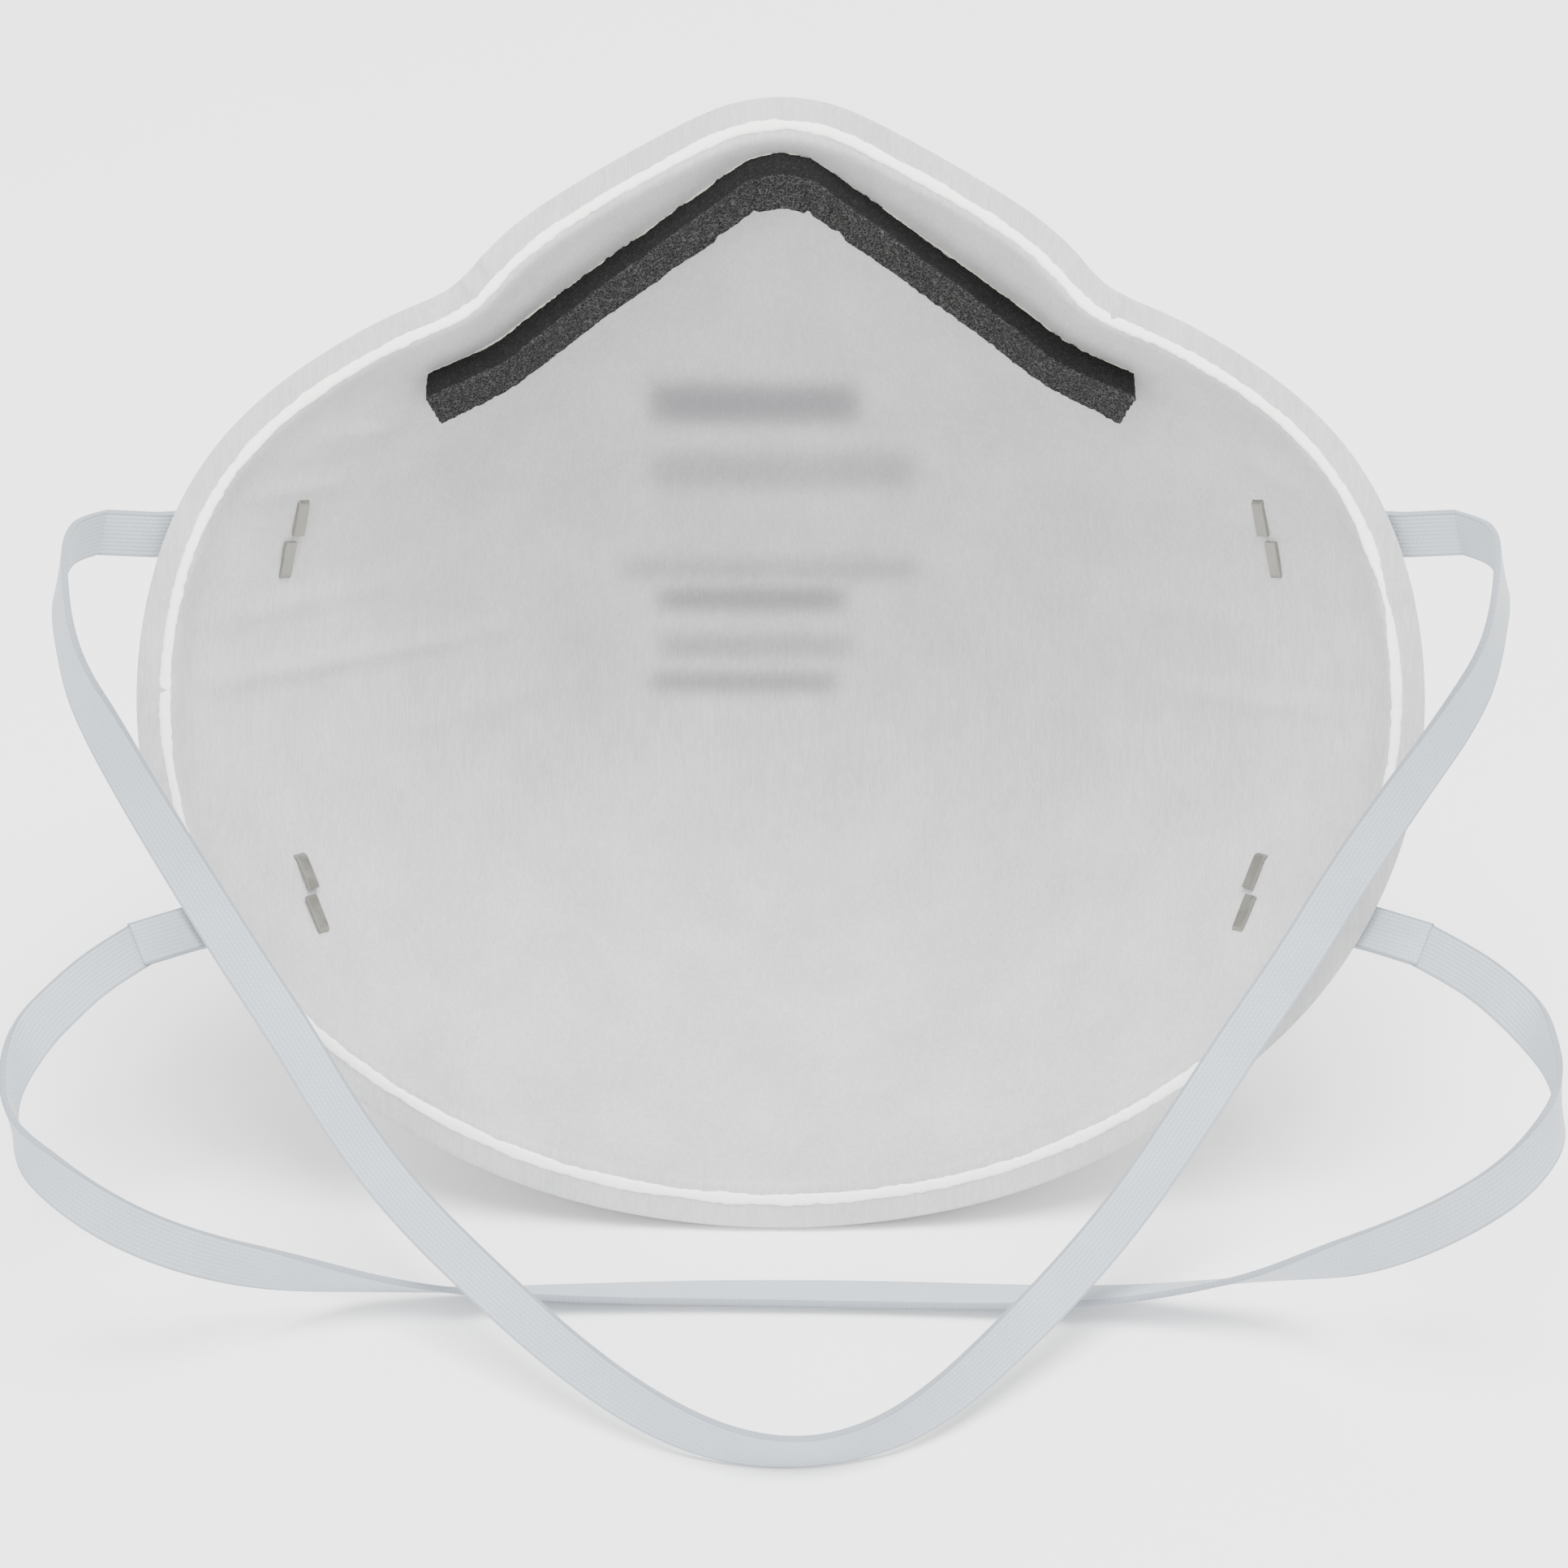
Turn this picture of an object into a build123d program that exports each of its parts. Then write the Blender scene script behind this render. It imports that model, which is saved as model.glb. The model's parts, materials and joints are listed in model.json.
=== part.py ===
"""Disposable dust mask: moulded cup, sealed flange, nose foam and clip, stapled elastic head straps.

The cup is drawn in its own frame first: X across the face, Y up the face and Z towards the wearer,
with Z = 0 at the flange beside the cheeks. It is then leaned back and set down, because the mask
stands on its chin edge and the underside of its cup. Sizes are in millimetres.
"""

from build123d import *
from math import atan2, cos, hypot, pi, radians, sin, tan
import os

# Outline of the flange's outer edge, right half, from the chin up to the nose.
FLANGE_EDGE = [
    (0, -63.0), (13.2, -62.0), (26.3, -59.0), (38.9, -53.6), (49.8, -46.6), (59.2, -37.8),
    (66.3, -26.8), (70.4, -14.6), (71.4, -2.0), (69.6, 9.8), (65.3, 20.2), (58.4, 28.6),
    (48.9, 35.5), (41.8, 39.2), (36.2, 42.0), (32.6, 45.8), (23.6, 52.8), (12.8, 59.0),
    (5.6, 62.2), (0, 63.0),
]
FLANGE_WIDTH = 2.5           # from the weld line to the trimmed edge
WELD_WIDTH = 1.3             # the fused line between flange and cup
WELD_HEIGHT = 0.25           # how far it stands proud on the wearer's side
RIM_SAG = 3.0                # how far nose and chin lie behind the cheeks
RIM_REACH = 63.0             # height above and below the centre at which that is reached
PRISM_DEPTH = 15.0           # how far behind the cheeks the flange's prism starts
PRISM_HEIGHT = 20.0
CUTTER_REACH = 90.0          # larger than any part of the cup

# The cup's inner face: depth behind the cheeks, share of the rim's size, drop of the
# section's centre, and how far the rim's shape has turned into a plain oval.
CUP_LEVELS = [
    (-4.0, 1.025, 0.0, 0.0), (0.0, 1.0, 0.0, 0.0), (3.0, 0.978, 0.0, 0.0),
    (8.0, 0.92, 0.6, 0.12), (15.0, 0.825, 1.8, 0.34), (23.0, 0.712, 3.4, 0.58),
    (31.0, 0.585, 5.0, 0.80), (38.5, 0.445, 6.6, 0.93), (44.0, 0.305, 7.6, 1.0),
    (47.0, 0.185, 8.2, 1.0), (48.3, 0.08, 8.5, 1.0),
]
OVAL = (67.5, 59.1)          # half width and half height of that oval at full size

# Thickness of each web in the cup wall, and where it is pressed flat in the flange.
LINING = 0.9
FILTER = 0.8
COVER = 1.0
WALL = LINING + FILTER + COVER
PRESSED_LINING = 0.4
PRESSED_FILTER = 0.7
FLANGE_THICKNESS = 1.2

# Nose strip line, right half, as it lies along the slope of the nose.
NOSE_LINE = [(0, 53.0), (3.6, 51.9), (8.0, 47.4), (16.0, 40.1), (24.3, 33.0), (31.0, 28.8), (39.8, 25.6)]
NOSE_SLOPE = 45.0            # degrees between the nose's wall and the rim's plane
NOSE_END_TILT = 1.6          # how far the strip's cut ends lean in at their lower corner
NOSE_REGION = 15.0           # the strip lies above this height
NOSE_CUTTER = 40.0           # half length of the prism that cuts it out
FOAM_WIDTH = 5.6
FOAM_THICKNESS = 4.0
CLIP_WIDTH = 5.0
CLIP_THICKNESS = 0.8
GLUE = 0.2

# Straps and staples. Each place is a point on the lining and the way its strap leaves, right side.
STRAP_WIDTH = 5.0
STRAP_THICKNESS = 0.7
STAPLE_PLACES = {"upper": ((55.0, 14.0), (1.0, -0.08)), "lower": ((53.0, -26.0), (1.0, -0.22))}
TAB_BEHIND = 4.5             # from the staple to the folded end
TAB_ALONG = {"upper": 16.8, "lower": 16.0}   # from the staple to the flange's edge
TAB_FREE = 7.0               # past the flange's edge
TAB_TURN = 15.0              # degrees that the free end springs outwards
TAB_CLEAR = 0.15             # air between the cover and the folded band
WIRE_WIDTH = 1.5
WIRE_THICKNESS = 0.5
CROWN = 9.5                  # outer width of a staple
CLINCH = 3.9                 # length of each folded leg

# Standing pose.
LEAN = 30.0                  # degrees that the rim's plane leans back from upright
RIM_CENTRE = Vector(0, -8.6, 56.66)

# Elastic head straps as they lie, in the standing frame. A tube has the band's own section area.
CORD_DIAMETER = 2.1
FIRST_GAP = 1.8              # from a strap's free tube to its stapled end, so that it can turn there
ROUND = 0.45                 # share of the shorter run that each arc may use
UPPER_ROUTE = [
    (-77.0, -7.0, 71.6), (-77.8, -12.5, 73.0), (-78.0, -18.0, 72.4), (-77.5, -22.6, 69.6),
    (-76.0, -24.9, 64.4), (-73.5, -24.8, 57.6), (-70.0, -24.6, 49.2), (-65.0, -26.5, 40.2),
    (-59.5, -30.5, 32.2), (-53.5, -35.5, 24.8), (-48.0, -41.5, 18.0), (-41.0, -49.5, 12.6),
    (-31.5, -59.5, 8.8), (-22.5, -68.5, 5.8), (-14.0, -75.5, 3.8), (-5.5, -80.0, 2.8),
    (3.0, -81.0, 2.6), (11.0, -78.5, 3.2), (17.5, -73.5, 4.3), (23.5, -67.0, 6.0),
    (30.5, -59.0, 8.5), (38.0, -50.0, 12.4), (44.5, -42.0, 18.0), (50.5, -35.5, 24.4),
    (57.0, -30.5, 32.2), (62.5, -26.5, 40.6), (68.5, -24.0, 49.6), (73.5, -23.5, 58.0),
    (76.2, -23.6, 65.0), (77.6, -21.4, 70.0), (78.2, -16.8, 72.7), (77.9, -11.8, 72.9),
    (77.0, -7.0, 71.4),
]
LOWER_ROUTE = [
    (-74.5, -31.5, 31.2), (-77.5, -38.3, 31.8), (-80.8, -45.8, 31.8), (-82.5, -53.8, 30.5),
    (-81.0, -59.6, 27.6), (-76.5, -62.5, 24.0), (-70.0, -62.5, 18.6), (-62.5, -59.5, 12.7),
    (-54.0, -55.5, 7.6), (-44.5, -52.5, 3.8), (-34.0, -51.3, 1.9), (-21.5, -50.6, 1.2),
    (-5.5, -50.3, 1.1), (10.5, -50.7, 1.15), (24.5, -51.6, 1.4), (36.0, -52.6, 2.3),
    (46.0, -53.8, 4.5), (55.5, -55.8, 8.0), (64.5, -59.0, 13.2), (72.0, -62.0, 19.6),
    (78.0, -62.6, 25.1), (82.0, -59.5, 29.2), (83.0, -53.2, 31.3), (81.4, -45.6, 32.3),
    (78.2, -38.2, 32.2), (74.8, -31.5, 31.4),
]


def full_ring(half):
    """Close a right half, given from bottom to top, with its mirror image."""
    return half + [(-x, y) for x, y in reversed(half[1:-1])]


def offset_ring(ring, distance):
    """Move each point of a counter-clockwise ring outwards, square to its neighbours."""
    moved = []
    for i, (x, y) in enumerate(ring):
        before = ring[i - 1]
        after = ring[(i + 1) % len(ring)]
        along_x = after[0] - before[0]
        along_y = after[1] - before[1]
        length = hypot(along_x, along_y)
        moved.append((x + distance * along_y / length, y - distance * along_x / length))
    return moved


def cup_section(level, out):
    """The cup's outline at one level, moved out by a distance square to the wall."""
    first = CUP_LEVELS[max(level - 1, 0)]
    last = CUP_LEVELS[min(level + 1, len(CUP_LEVELS) - 1)]
    rise = last[0] - first[0]
    shrink = RIM_REACH * (first[1] - last[1])
    slope = hypot(rise, shrink)
    depth, size, drop, roundness = CUP_LEVELS[level]
    ring = []
    for x, y in offset_ring(full_ring(FLANGE_EDGE), -FLANGE_WIDTH - WELD_WIDTH):
        turn = atan2(y / OVAL[1], x / OVAL[0])
        round_x = OVAL[0] * cos(turn)
        round_y = OVAL[1] * sin(turn)
        across = size * (x + roundness * (round_x - x))
        up = size * (y + roundness * (round_y - y)) - drop
        ring.append((across, up))
    ring = offset_ring(ring, out * rise / slope)
    height = -depth - out * shrink / slope
    return Wire([Edge.make_spline([Vector(x, y, height) for x, y in ring], periodic=True)])


def cup_solid(out):
    """The whole space inside the cup, grown by a distance square to the inner face."""
    return Solid.make_loft([cup_section(level, out) for level in range(len(CUP_LEVELS))])


def behind_rim(depth):
    """Everything that lies further than a depth behind the rim's saddle."""
    reach = CUTTER_REACH
    sag = RIM_SAG * (reach / RIM_REACH) ** 2
    outline = Wire([
        Edge.make_three_point_arc((0, -reach, -depth - sag), (0, 0, -depth), (0, reach, -depth - sag)),
        Edge.make_line((0, reach, -depth - sag), (0, reach, -reach)),
        Edge.make_line((0, reach, -reach), (0, -reach, -reach)),
        Edge.make_line((0, -reach, -reach), (0, -reach, -depth - sag)),
    ])
    return extrude(Face(outline), amount=reach, dir=(1, 0, 0), both=True)


def edge_prism(inset):
    """The flange's outline, drawn in from its trimmed edge, as a deep prism."""
    ring = offset_ring(full_ring(FLANGE_EDGE), -inset)
    wire = Wire([Edge.make_spline([Vector(x, y, -PRISM_DEPTH) for x, y in ring], periodic=True)])
    return extrude(Face(wire), amount=PRISM_HEIGHT, dir=(0, 0, 1))


def web(inner, outer, front, back):
    """One web of the wall: its cup and its share of the flange, from front depth to back depth."""
    flange = (edge_prism(0) & behind_rim(front)) - behind_rim(back)
    return ((cup_solid(outer) & behind_rim(front)) + flange) - cup_solid(inner)


def weld_bead():
    ring = edge_prism(FLANGE_WIDTH) - edge_prism(FLANGE_WIDTH + WELD_WIDTH)
    return (ring & behind_rim(-WELD_HEIGHT)) - behind_rim(0)


def nose_strip(width, outer, inner):
    """A strip along the nose line, between two distances from the cup's inner face."""
    right = [Vector(x, y, 0) for x, y in NOSE_LINE]
    spread = width / sin(radians(NOSE_SLOPE)) / 2
    middle = FOAM_WIDTH / sin(radians(NOSE_SLOPE)) / 2
    top = [(p.X, p.Y - middle + spread) for p in right]
    low = [(p.X, p.Y - middle - spread) for p in right]
    low[-1] = (low[-1][0] - NOSE_END_TILT, low[-1][1])
    outline = [(-x, y) for x, y in reversed(top[1:])] + top
    outline += list(reversed(low)) + [(-x, y) for x, y in low[1:]]
    face = Face(Wire.make_polygon([Vector(x, y, 0) for x, y in outline]))
    inward = Vector(0, -sin(radians(NOSE_SLOPE)), cos(radians(NOSE_SLOPE)))
    prism = extrude(face, amount=NOSE_CUTTER, dir=inward, both=True)
    reach = 2 * CUTTER_REACH
    upper_half = Pos(0, NOSE_REGION + reach / 2, 0) * Box(reach, reach, reach)
    return (prism & upper_half & cup_solid(outer)) - cup_solid(inner)


def staple_frame(inner_face, place, leaving, side):
    """Plane just off the cover: X along the crown, Y the way the strap leaves, Z away from the cup."""
    line = Axis((side * place[0], place[1], -CUTTER_REACH), (0, 0, 1))
    point, normal = inner_face.find_intersection_points(line)[0]
    out_x = side * leaving[0]
    out_y = leaving[1]
    out_z = -(out_x * normal.X + out_y * normal.Y) / normal.Z
    strap_way = Vector(out_x, out_y, out_z).normalized()
    return Plane(origin=point + normal * (WALL + TAB_CLEAR), x_dir=strap_way.cross(normal), z_dir=normal)


def block(plane, x, y, z):
    """A box in a plane's own frame, each direction given as a pair of limits."""
    middle = [(low + high) / 2 for low, high in (x, y, z)]
    size = [high - low for low, high in (x, y, z)]
    return plane * Pos(*middle) * Box(*size)


def staple(plane):
    half = CROWN / 2
    top = 2 * STRAP_THICKNESS
    across = (-WIRE_WIDTH / 2, WIRE_WIDTH / 2)
    lining_face = -WALL - TAB_CLEAR
    bottom = lining_face - WIRE_THICKNESS
    body = block(plane, (-half, half), across, (top, top + WIRE_THICKNESS))
    for side in (-1, 1):
        outer = side * half
        inner = side * (half - WIRE_THICKNESS)
        tip = side * (half - CLINCH)
        body += block(plane, sorted((outer, inner)), across, (bottom, top))
        body += block(plane, sorted((outer, tip)), across, (bottom, lining_face))
    return body


def strap_end(plane, along):
    """The band folded double under its staple, out to the cut end; also its free end's place."""
    thick = 2 * STRAP_THICKNESS
    turn = radians(TAB_TURN)
    bend = Vector(0, along, 0)
    free_way = Vector(0, cos(turn), sin(turn))
    rise = Vector(0, -sin(turn), cos(turn)) * thick
    half_turn = Vector(0, -tan(turn / 2), 1) * thick
    tip = bend + free_way * TAB_FREE
    fold = thick / 2
    start = Vector(0, fold - TAB_BEHIND, 0)
    outline = Wire([
        Edge.make_line(start, bend),
        Edge.make_line(bend, tip),
        Edge.make_line(tip, tip + rise),
        Edge.make_line(tip + rise, bend + half_turn),
        Edge.make_line(bend + half_turn, start + Vector(0, 0, thick)),
        Edge.make_three_point_arc(start + Vector(0, 0, thick), start + Vector(0, -fold, fold), start),
    ])
    band = extrude(Face(outline), amount=STRAP_WIDTH / 2, dir=(1, 0, 0), both=True)
    band_end = Edge.make_line(tip + rise / 2, tip + rise / 2 + free_way)
    return plane * band, plane * band_end


def strap_tube(name, first, route, last):
    """A plain tube along a strap's free run: straight runs joined by tangent arcs."""
    points = [first] + [Vector(*p) for p in route] + [last]
    radii = []
    for before, corner, after in zip(points, points[1:], points[2:]):
        come = corner - before
        leave = after - corner
        half_turn = radians(come.get_angle(leave)) / 2
        radii.append(ROUND * min(come.length, leave.length) / tan(half_turn))
    path = FilletPolyline(*points, radius=radii)
    start = Plane(origin=path @ 0, z_dir=path % 0)
    tube = sweep(start * Circle(CORD_DIAMETER / 2), path=path)
    plain = pi * CORD_DIAMETER ** 2 / 4 * path.length
    runs = [(b - a).length for a, b in zip(points, points[1:])]
    print(name, "length", round(path.length, 1), "volume share", round(tube.volume / plain, 3))
    print("  radii", [round(r, 1) for r in radii], "runs", [round(r, 1) for r in runs])
    return tube


def build():
    """All nodes in the standing frame."""
    stand = Pos(*RIM_CENTRE) * Rot(90 - LEAN, 0, 0)
    cup = cup_solid(0)
    parts = {
        "inner_lining": web(0, LINING, 0, PRESSED_LINING),
        "filter_web": web(LINING, LINING + FILTER, PRESSED_LINING, PRESSED_FILTER),
        "outer_cover": web(LINING + FILTER, WALL, PRESSED_FILTER, FLANGE_THICKNESS),
        "edge_weld": weld_bead(),
        "nose_foam_glue": nose_strip(CLIP_WIDTH, 0, -GLUE),
        "nose_foam": nose_strip(FOAM_WIDTH, -GLUE, -GLUE - FOAM_THICKNESS),
        "nose_clip_glue": nose_strip(CLIP_WIDTH - 1, WALL + GLUE, WALL),
        "nose_clip": nose_strip(CLIP_WIDTH, WALL + GLUE + CLIP_THICKNESS, WALL + GLUE),
    }
    ends = {}
    for level, (place, leaving) in STAPLE_PLACES.items():
        for side_name, side in (("left", -1), ("right", 1)):
            plane = staple_frame(cup, place, leaving, side)
            wire = staple(plane)
            band, ends[level, side_name] = strap_end(plane, TAB_ALONG[level])
            parts[f"{level}_strap_{side_name}_end"] = band
            parts[f"{level}_{side_name}_staple"] = wire
            for name in ("inner_lining", "filter_web", "outer_cover"):
                parts[name] -= wire
    parts = {name: stand * shape for name, shape in parts.items()}
    for level, route in (("upper", UPPER_ROUTE), ("lower", LOWER_ROUTE)):
        left, right = [stand * ends[level, side] for side in ("left", "right")]
        first = left @ 0 + (left % 0) * FIRST_GAP
        last = right @ 0 + (right % 0) * FIRST_GAP
        print(level, "hinge ends", left @ 0, right @ 0)
        parts[f"{level}_strap"] = strap_tube(level, first, route, last)
    return parts


os.makedirs("parts", exist_ok=True)
for node, shape in build().items():
    export_step(shape, f"parts/{node}.step")
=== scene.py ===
"""Disposable dust mask standing on a table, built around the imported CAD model.

The cup is drawn in its own frame: a across the face, b up the face and h towards the wearer, in
millimetres from the middle of the rim. Everything else is in the row frame, in metres.
"""

import json
import math

import bmesh
import bpy
import numpy as np
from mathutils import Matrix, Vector, noise


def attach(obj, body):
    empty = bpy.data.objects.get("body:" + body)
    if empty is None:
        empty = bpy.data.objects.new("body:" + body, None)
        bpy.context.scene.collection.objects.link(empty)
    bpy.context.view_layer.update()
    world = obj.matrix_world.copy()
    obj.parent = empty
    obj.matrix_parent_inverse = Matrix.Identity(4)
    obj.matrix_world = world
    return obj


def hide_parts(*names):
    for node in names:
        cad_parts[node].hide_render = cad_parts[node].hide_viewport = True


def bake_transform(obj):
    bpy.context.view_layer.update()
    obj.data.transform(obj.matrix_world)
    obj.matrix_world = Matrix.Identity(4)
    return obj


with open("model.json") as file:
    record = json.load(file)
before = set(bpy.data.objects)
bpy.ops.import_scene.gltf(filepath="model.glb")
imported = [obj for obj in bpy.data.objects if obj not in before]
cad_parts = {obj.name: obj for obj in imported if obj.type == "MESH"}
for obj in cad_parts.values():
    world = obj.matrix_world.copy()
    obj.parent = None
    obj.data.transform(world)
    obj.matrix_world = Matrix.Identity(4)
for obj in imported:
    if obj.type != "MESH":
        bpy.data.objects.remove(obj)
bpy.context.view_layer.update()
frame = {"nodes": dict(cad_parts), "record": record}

MM = 0.001

seal = next(m for m in frame["record"]["mounts"] if m["name"] == "face_seal")
CENTRE = np.array(seal["pos_m"])
TO_WEARER = np.array(seal["axis"])
ACROSS = np.array([1.0, 0.0, 0.0])
UP_FACE = np.cross(TO_WEARER, ACROSS)
CUP_AXES = np.array([ACROSS, UP_FACE, TO_WEARER])


def to_row(points):
    """Cup frame in millimetres to row frame in metres."""
    return CENTRE + MM * np.asarray(points, float) @ CUP_AXES


# ---------------------------------------------------------------- camera
CAMERA_DISTANCE = 0.652
LENS = 135.0
SHIFT = (0.0021, -0.0776)

camera = bpy.data.objects.new("camera", bpy.data.cameras.new("camera"))
bpy.context.scene.collection.objects.link(camera)
camera.data.lens = LENS
camera.data.shift_x, camera.data.shift_y = SHIFT
camera.location = CENTRE + CAMERA_DISTANCE * TO_WEARER
camera.rotation_mode = "QUATERNION"
camera.rotation_quaternion = Vector(-TO_WEARER).to_track_quat("-Z", "Y")
bpy.context.scene.camera = camera

# ---------------------------------------------------------------- sizes
# The CAD's own, in millimetres, apart from the staples' longer CLINCH and from FOLD_SLACK.
FLANGE_EDGE = [
    (0, -63.0), (13.2, -62.0), (26.3, -59.0), (38.9, -53.6), (49.8, -46.6), (59.2, -37.8),
    (66.3, -26.8), (70.4, -14.6), (71.4, -2.0), (69.6, 9.8), (65.3, 20.2), (58.4, 28.6),
    (48.9, 35.5), (41.8, 39.2), (36.2, 42.0), (32.6, 45.8), (23.6, 52.8), (12.8, 59.0),
    (5.6, 62.2), (0, 63.0),
]
FLANGE_WIDTH = 2.5
WELD_WIDTH = 1.3
WELD_HEIGHT = 0.25
RIM_SAG = 3.0
RIM_REACH = 63.0
# Depth behind the cheeks, share of the rim's size, drop of the section, share of plain oval.
CUP_LEVELS = np.array([
    (-4.0, 1.025, 0.0, 0.0), (0.0, 1.0, 0.0, 0.0), (3.0, 0.978, 0.0, 0.0),
    (8.0, 0.92, 0.6, 0.12), (15.0, 0.825, 1.8, 0.34), (23.0, 0.712, 3.4, 0.58),
    (31.0, 0.585, 5.0, 0.80), (38.5, 0.445, 6.6, 0.93), (44.0, 0.305, 7.6, 1.0),
    (47.0, 0.185, 8.2, 1.0), (48.3, 0.08, 8.5, 1.0), (48.5, 0.015, 8.6, 1.0),
])
OVAL = np.array([67.5, 59.1])
LINING = 0.9
FILTER = 0.8
WALL = 2.7
PRESSED_LINING = 0.4
PRESSED_FILTER = 0.7
FLANGE_THICKNESS = 1.2

STRAP_WIDTH = 5.0
STRAP_THICKNESS = 0.7
TAB_BEHIND = 4.5
TAB_ALONG = {"upper": 16.8, "lower": 16.0}
TAB_FREE = 7.0
TAB_TURN = math.radians(15.0)
TAB_CLEAR = 0.15
FOLD_SLACK = 0.04  # left between a folded end's two layers
BAND_START = 0.86  # how far along the free part of its folded end the band's loop starts
WIRE_WIDTH = 1.5
WIRE_THICKNESS = 0.5
CROWN = 9.5
CLINCH = 4.4
# The bands' routes, in metres in the row frame, from the left folded end to the right one.
UPPER_ROUTE = [
    (-0.077, -0.007, 0.0716), (-0.0778, -0.0125, 0.073), (-0.078, -0.018, 0.0724),
    (-0.0775, -0.0226, 0.0696), (-0.076, -0.0249, 0.0644), (-0.0735, -0.0248, 0.0576),
    (-0.07, -0.0246, 0.0492), (-0.065, -0.0265, 0.0402), (-0.0595, -0.0305, 0.0322),
    (-0.0535, -0.0355, 0.0248), (-0.048, -0.0415, 0.018), (-0.041, -0.0495, 0.0126),
    (-0.0315, -0.0595, 0.0088), (-0.0225, -0.0685, 0.0058), (-0.014, -0.0755, 0.0038),
    (-0.0055, -0.08, 0.0028), (0.003, -0.081, 0.0026), (0.011, -0.0785, 0.0032),
    (0.0175, -0.0735, 0.0043), (0.0235, -0.067, 0.006), (0.0305, -0.059, 0.0085),
    (0.038, -0.05, 0.0124), (0.0445, -0.042, 0.018), (0.0505, -0.0355, 0.0244),
    (0.057, -0.0305, 0.0322), (0.0625, -0.0265, 0.0406), (0.0685, -0.024, 0.0496),
    (0.0735, -0.0235, 0.058), (0.0762, -0.0236, 0.065), (0.0776, -0.0214, 0.07),
    (0.0782, -0.0168, 0.0727), (0.0779, -0.0118, 0.0729), (0.077, -0.007, 0.0714),
]
LOWER_ROUTE = [
    (-0.0745, -0.0315, 0.0312), (-0.0775, -0.0383, 0.0318), (-0.0808, -0.0458, 0.0318),
    (-0.0825, -0.0538, 0.0305), (-0.081, -0.0596, 0.0276), (-0.0765, -0.0625, 0.024),
    (-0.07, -0.0625, 0.0186), (-0.0625, -0.0595, 0.0127), (-0.054, -0.0555, 0.0076),
    (-0.0445, -0.0525, 0.0038), (-0.034, -0.0513, 0.0019), (-0.0215, -0.0506, 0.0012),
    (-0.0055, -0.0503, 0.0011), (0.0105, -0.0507, 0.00115), (0.0245, -0.0516, 0.0014),
    (0.036, -0.0526, 0.0023), (0.046, -0.0538, 0.0045), (0.0555, -0.0558, 0.008),
    (0.0645, -0.059, 0.0132), (0.072, -0.062, 0.0196), (0.078, -0.0626, 0.0251),
    (0.082, -0.0595, 0.0292), (0.083, -0.0532, 0.0313), (0.0814, -0.0456, 0.0323),
    (0.0782, -0.0382, 0.0322), (0.0748, -0.0315, 0.0314),
]


# ---------------------------------------------------------------- materials
INK = (0.14, 0.14, 0.15)


def add(tree, kind, inputs=None, **settings):
    """A shader node; an input is a value, or another node's output."""
    made = tree.nodes.new("ShaderNode" + kind)
    for key, value in settings.items():
        setattr(made, key, value)
    for key, value in (inputs or {}).items():
        if isinstance(value, bpy.types.NodeSocket):
            tree.links.new(value, made.inputs[key])
        else:
            made.inputs[key].default_value = value
    return made


def new_look(name, **fixed):
    """A material whose shader has these sockets set, such as Roughness=0.5."""
    look = bpy.data.materials.new(name)
    look.use_nodes = True
    tree = look.node_tree
    shader = tree.nodes["Principled BSDF"]
    for key, value in fixed.items():
        shader.inputs[key].default_value = value
    return look, tree, shader


def place_of(tree):
    """The place in a piece's own pattern, in millimetres."""
    return add(tree, "Attribute", attribute_name="place").outputs["Vector"]


def row_place(tree):
    """The place in the row frame, in metres, for CAD nodes."""
    return add(tree, "TexCoord").outputs["Object"]


def grain(tree, where, scale, detail=3.0, rough=0.55, squeeze=None, turn=(0.0, 0.0, 0.0),
          distortion=0.0):
    """A noise value; squeeze stretches it into strands along one direction."""
    if squeeze is not None:
        inputs = {"Vector": where, "Rotation": turn, "Scale": squeeze}
        where = add(tree, "Mapping", inputs).outputs[0]
    inputs = {"Vector": where, "Scale": scale, "Detail": detail, "Roughness": rough,
              "Distortion": distortion}
    return add(tree, "TexNoise", inputs).outputs[0]


def span(tree, value, low, high, to_low=0.0, to_high=1.0, smooth=False):
    """A value's stretch from low to high, spread over another."""
    inputs = {"Value": value, "From Min": low, "From Max": high, "To Min": to_low,
              "To Max": to_high}
    kind = "SMOOTHSTEP" if smooth else "LINEAR"
    return add(tree, "MapRange", inputs, interpolation_type=kind).outputs[0]


def maths(tree, operation, a, b=0.0):
    return add(tree, "Math", {0: a, 1: b}, operation=operation).outputs[0]


def summed(tree, *parts):
    """The sum of some values, each given with its weight."""
    total = None
    for value, weight in parts:
        part = maths(tree, "MULTIPLY", value, weight)
        total = part if total is None else maths(tree, "ADD", total, part)
    return total


def covered(tree, share, under, over):
    """A colour with a plain one laid over it, by a share from 0 to 1."""
    return add(tree, "Mix", {0: share, 6: under, 7: (*over, 1.0)}, data_type="RGBA").outputs[2]


def tint(tree, factor, low, high):
    """A colour between two plain ones."""
    return covered(tree, factor, (*low, 1.0), high)


def strands(tree, where, scale, directions):
    """Matted fibres: thin bright ridges of stretched noise, lying several ways."""
    total = None
    for turn in directions:
        wave = grain(tree, where, scale, 2.0, 0.5, (1.0, 0.09, 0.5), (0.0, 0.0, turn), 0.25)
        off = maths(tree, "ABSOLUTE", maths(tree, "SUBTRACT", wave, 0.5))
        ridge = span(tree, off, 0.0, 0.035, 1.0, 0.0)
        total = ridge if total is None else maths(tree, "MAXIMUM", total, ridge)
    return total


def bump(tree, shader, height, distance, strength):
    made = add(tree, "Bump", {"Height": height, "Distance": distance, "Strength": strength})
    tree.links.new(made.outputs[0], shader.inputs["Normal"])


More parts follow.
